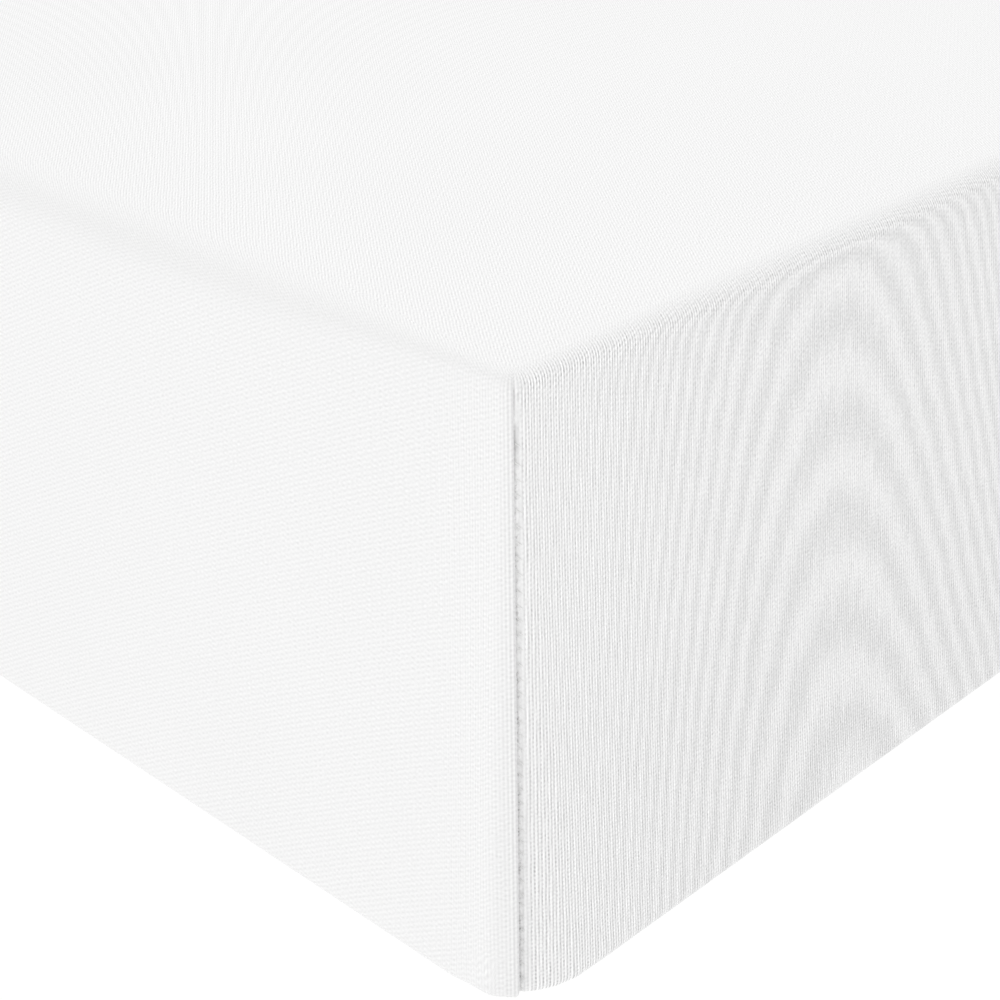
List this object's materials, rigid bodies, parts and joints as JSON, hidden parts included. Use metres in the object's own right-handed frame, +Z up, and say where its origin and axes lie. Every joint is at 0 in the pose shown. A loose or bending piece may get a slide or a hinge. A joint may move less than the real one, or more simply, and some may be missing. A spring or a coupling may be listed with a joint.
{
  "type": "fitted sheet on a mattress",
  "caption": "White rib jersey fitted sheet stretched over a plain low block mattress, with corner seams and a turned-under hem.",
  "frame": {"origin": "on the floor under the middle of the mattress", "axes": "+Z up, +Y along the long sides, +X across the width; the pictured corner is at -X, -Y"},
  "size_m": [0.9074, 2.0036, 0.1503],
  "materials": {
    "white_jersey": "fine rib jersey, matt white",
    "mattress_ticking": "plain woven ticking over a foam block, matt off-white"
  },
  "bodies": {
    "root": {"fitted_sheet": "white_jersey", "mattress": "mattress_ticking"}
  },
  "joints": []
}
